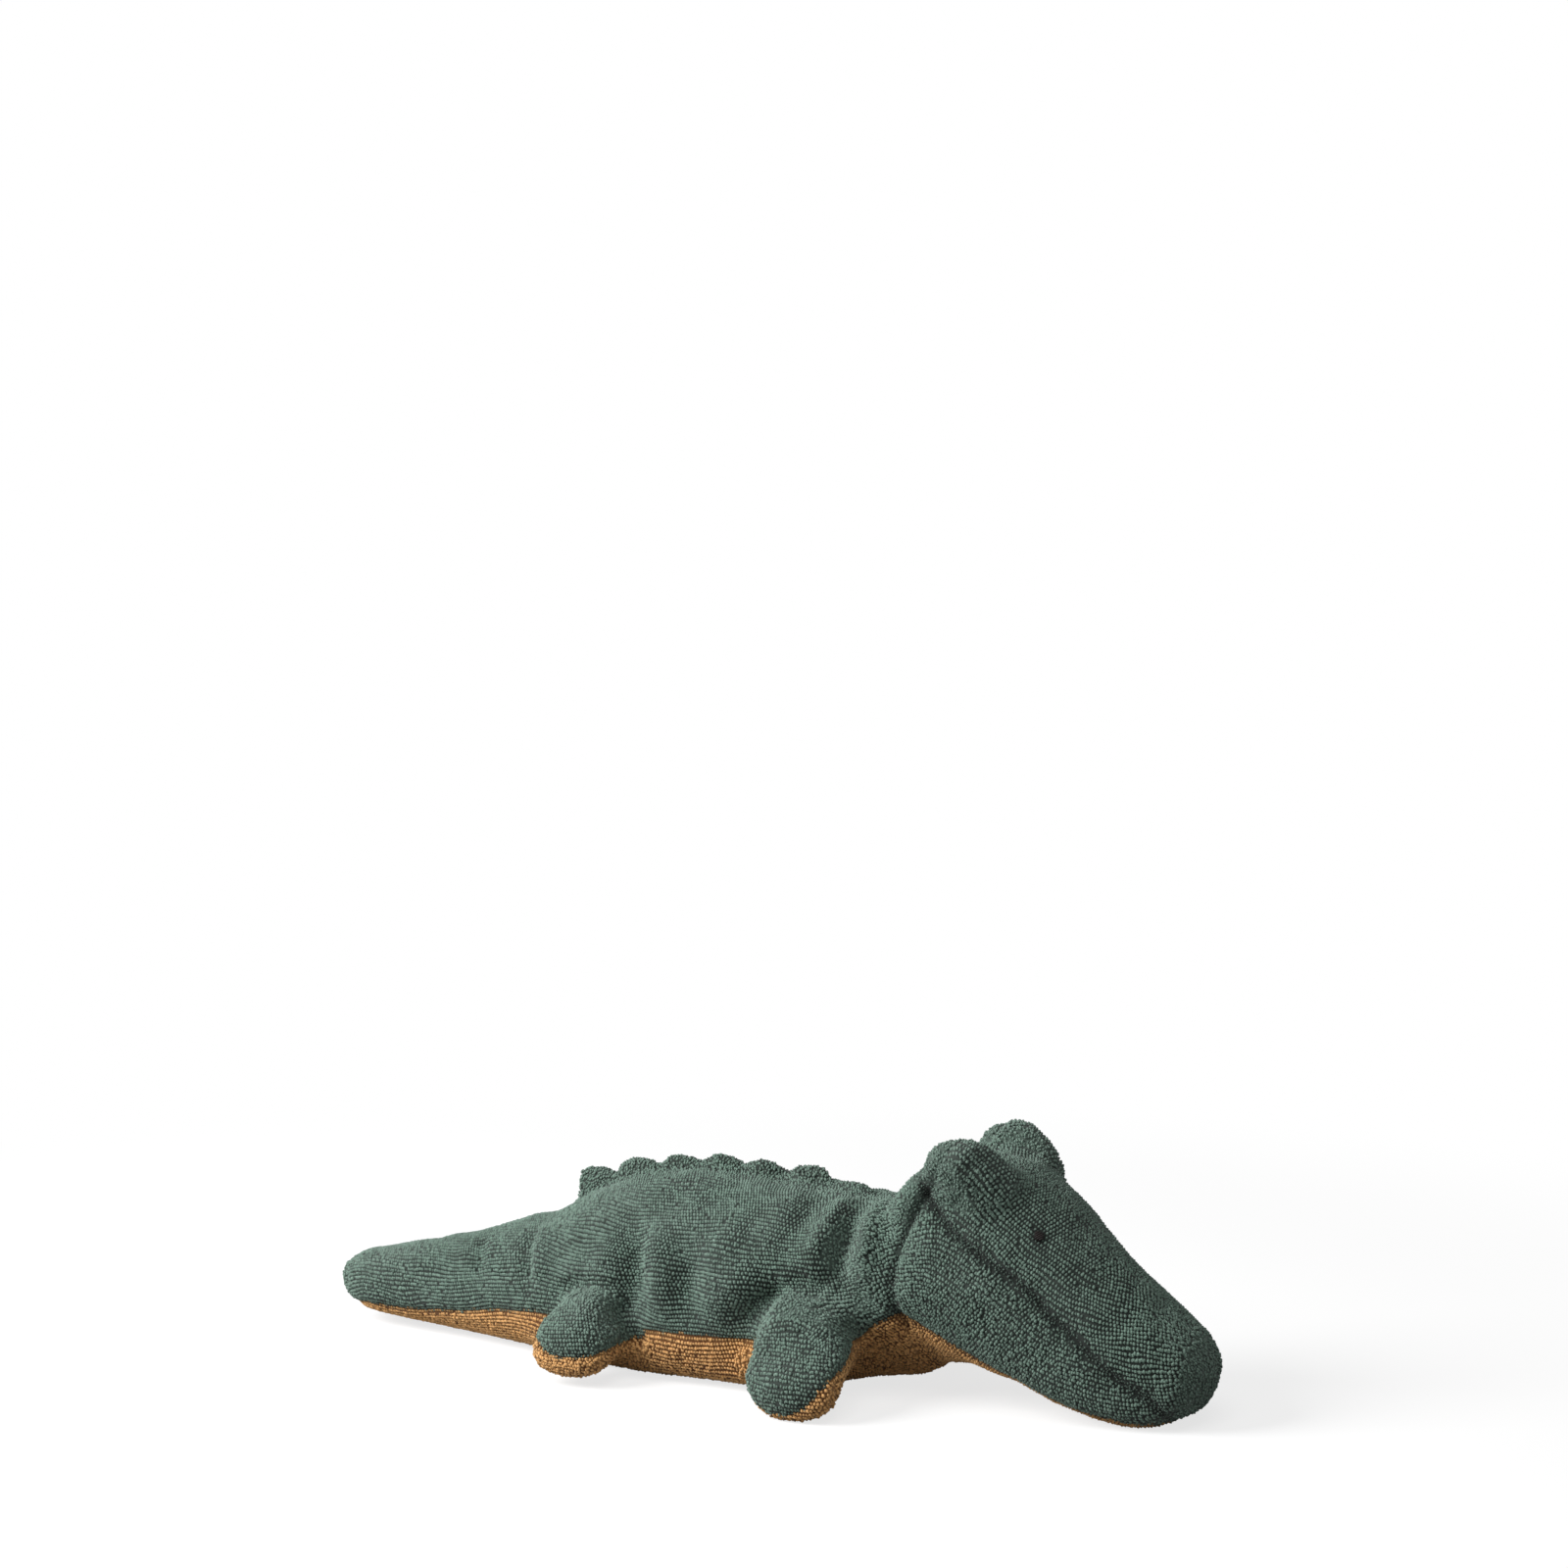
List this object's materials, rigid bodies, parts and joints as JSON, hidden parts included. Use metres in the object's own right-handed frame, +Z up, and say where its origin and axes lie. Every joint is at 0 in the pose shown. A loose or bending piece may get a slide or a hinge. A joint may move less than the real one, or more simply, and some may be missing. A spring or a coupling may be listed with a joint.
{
  "type": "plush crocodile",
  "caption": "Stuffed terry cloth crocodile lying on its belly: green back, tan underside, scalloped back strip, blunt drooping snout and short splayed legs.",
  "frame": {"origin": "centre of the bounding box, at the floor that the belly rests on", "axes": "+X forward to the snout, +Y to the animal's left, +Z up"},
  "size_m": [0.446, 0.1654, 0.1194],
  "materials": {
    "green_terry": "matte looped terry cloth",
    "tan_terry": "matte looped terry cloth",
    "stuffing": "loose polyester fibre",
    "eye_thread": "satin embroidery thread"
  },
  "bodies": {
    "torso": {"torso_back_panel": "green_terry", "torso_belly_panel": "tan_terry", "torso_stuffing": "stuffing", "back_scute_strip": "green_terry"},
    "neck": {"neck_back_panel": "green_terry", "neck_belly_panel": "tan_terry", "neck_stuffing": "stuffing"},
    "head": {"head_crown_panel": "green_terry", "head_cheek_panel_left": "green_terry", "head_cheek_panel_right": "green_terry", "head_jaw_panel": "tan_terry", "head_stuffing": "stuffing", "eye_left": "eye_thread", "eye_right": "eye_thread"},
    "tail_base": {"tail_base_back_panel": "green_terry", "tail_base_belly_panel": "tan_terry", "tail_base_stuffing": "stuffing"},
    "tail_tip": {"tail_tip_back_panel": "green_terry", "tail_tip_belly_panel": "tan_terry", "tail_tip_stuffing": "stuffing"},
    "front_leg_left": {"front_leg_left_upper": "green_terry", "front_leg_left_sole": "tan_terry", "front_leg_left_stuffing": "stuffing"},
    "front_leg_right": {"front_leg_right_upper": "green_terry", "front_leg_right_sole": "tan_terry", "front_leg_right_stuffing": "stuffing"},
    "hind_leg_left": {"hind_leg_left_upper": "green_terry", "hind_leg_left_sole": "tan_terry", "hind_leg_left_stuffing": "stuffing"},
    "hind_leg_right": {"hind_leg_right_upper": "green_terry", "hind_leg_right_sole": "tan_terry", "hind_leg_right_stuffing": "stuffing"}
  },
  "joints": [
    {"name": "neck_turn", "type": "hinge", "parent": "torso", "child": "neck", "pos_m": [0.08201, 0, 0.048], "axis": [0, 0, 1], "range_deg": [-20, 20], "stiffness_Nm_per_rad": 0.3},
    {"name": "head_nod", "type": "hinge", "parent": "neck", "child": "head", "pos_m": [0.08201, 0, 0.048], "axis": [0, -1, 0], "range_deg": [0, 15], "stiffness_Nm_per_rad": 0.4},
    {"name": "front_leg_left_swing", "type": "hinge", "parent": "torso", "child": "front_leg_left", "pos_m": [0.04901, 0.04466, 0.026], "axis": [0, 0, 1], "range_deg": [-20, 20], "stiffness_Nm_per_rad": 0.05},
    {"name": "front_leg_right_swing", "type": "hinge", "parent": "torso", "child": "front_leg_right", "pos_m": [0.04901, -0.04466, 0.026], "axis": [0, 0, 1], "range_deg": [-20, 20], "stiffness_Nm_per_rad": 0.05},
    {"name": "hind_leg_left_swing", "type": "hinge", "parent": "torso", "child": "hind_leg_left", "pos_m": [-0.05799, 0.04513, 0.024], "axis": [0, 0, 1], "range_deg": [-20, 20], "stiffness_Nm_per_rad": 0.05},
    {"name": "hind_leg_right_swing", "type": "hinge", "parent": "torso", "child": "hind_leg_right", "pos_m": [-0.05799, -0.04513, 0.024], "axis": [0, 0, 1], "range_deg": [-20, 20], "stiffness_Nm_per_rad": 0.05},
    {"name": "tail_sway", "type": "hinge", "parent": "torso", "child": "tail_base", "pos_m": [-0.09799, 0, 0.03219], "axis": [0, 0, 1], "range_deg": [-18, 18], "stiffness_Nm_per_rad": 0.15},
    {"name": "tail_tip_sway", "type": "hinge", "parent": "tail_base", "child": "tail_tip", "pos_m": [-0.15799, 0, 0.02413], "axis": [0, 0, 1], "range_deg": [-18, 18], "stiffness_Nm_per_rad": 0.05}
  ]
}
